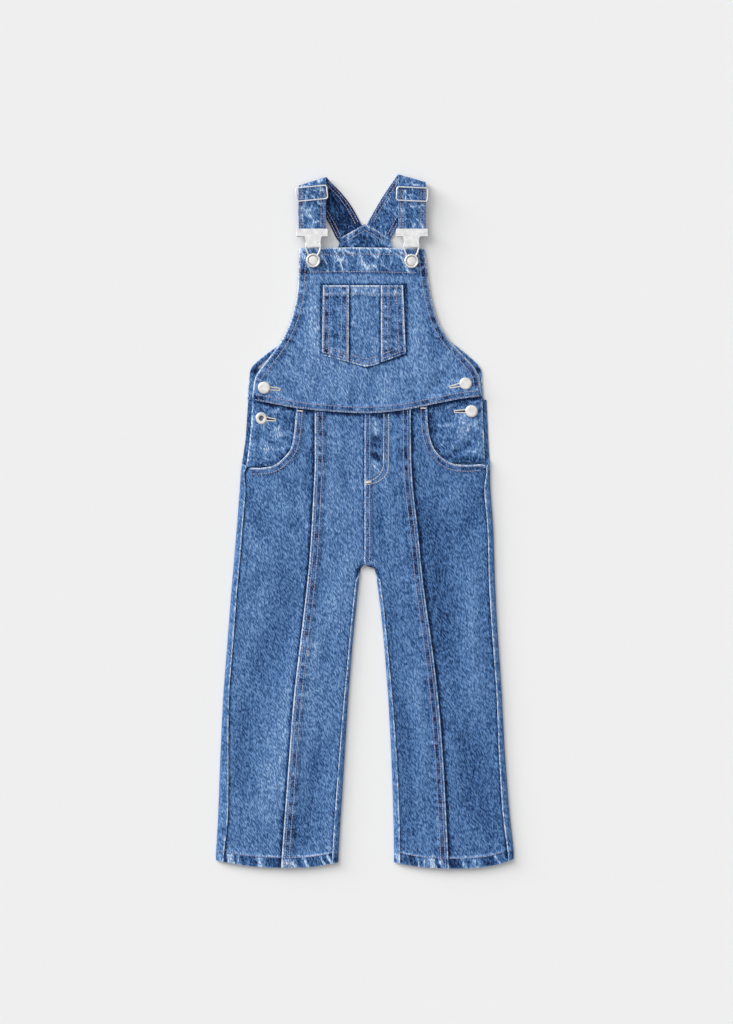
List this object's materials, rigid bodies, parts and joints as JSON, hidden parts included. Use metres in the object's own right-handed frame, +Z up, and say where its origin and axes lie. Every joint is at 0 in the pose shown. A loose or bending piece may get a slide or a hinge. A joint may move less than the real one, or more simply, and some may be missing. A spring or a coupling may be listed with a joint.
{
  "type": "kids dungarees",
  "caption": "Child's denim dungarees laid flat: bib with pieced patch pocket, buckled straps, buttoned side openings, scoop pockets and straight panelled legs.",
  "frame": {"origin": "middle of the garment's box, on the surface that it lies on", "axes": "+X across the garment, to the right as it is looked down on; +Y from the hems to the shoulders; +Z up off the surface, out of its front"},
  "size_m": [0.357, 0.8319, 0.0141],
  "materials": {
    "denim_front": "washed mid-blue denim, right side, twill with light slubs",
    "denim_back": "washed mid-blue denim, twill",
    "denim_pocket": "washed mid-blue denim, right side, twill with light slubs",
    "denim_strap": "washed mid-blue denim, sewn double",
    "buckle_metal": "pale nickel-plated steel",
    "button_metal": "satin nickel-plated steel"
  },
  "bodies": {
    "root": {"bib_front": "denim_front", "front_centre_l": "denim_front", "front_centre_r": "denim_front", "front_side_l": "denim_front", "front_side_r": "denim_front", "hip_panel_l": "denim_back", "hip_panel_r": "denim_back", "back_leg_l": "denim_back", "back_leg_r": "denim_back", "back_bib": "denim_back", "back_facing": "denim_back", "pocket_side_l": "denim_pocket", "pocket_centre": "denim_pocket", "pocket_side_r": "denim_pocket", "strap_l": "denim_strap", "strap_r": "denim_strap", "slider_l": "buckle_metal", "slider_r": "buckle_metal", "buckle_l": "buckle_metal", "buckle_r": "buckle_metal", "bib_button_l": "button_metal", "bib_button_r": "button_metal", "side_button_top_l": "button_metal", "side_button_top_r": "button_metal", "side_button_low_l": "button_metal", "side_button_low_r": "button_metal"}
  },
  "joints": []
}
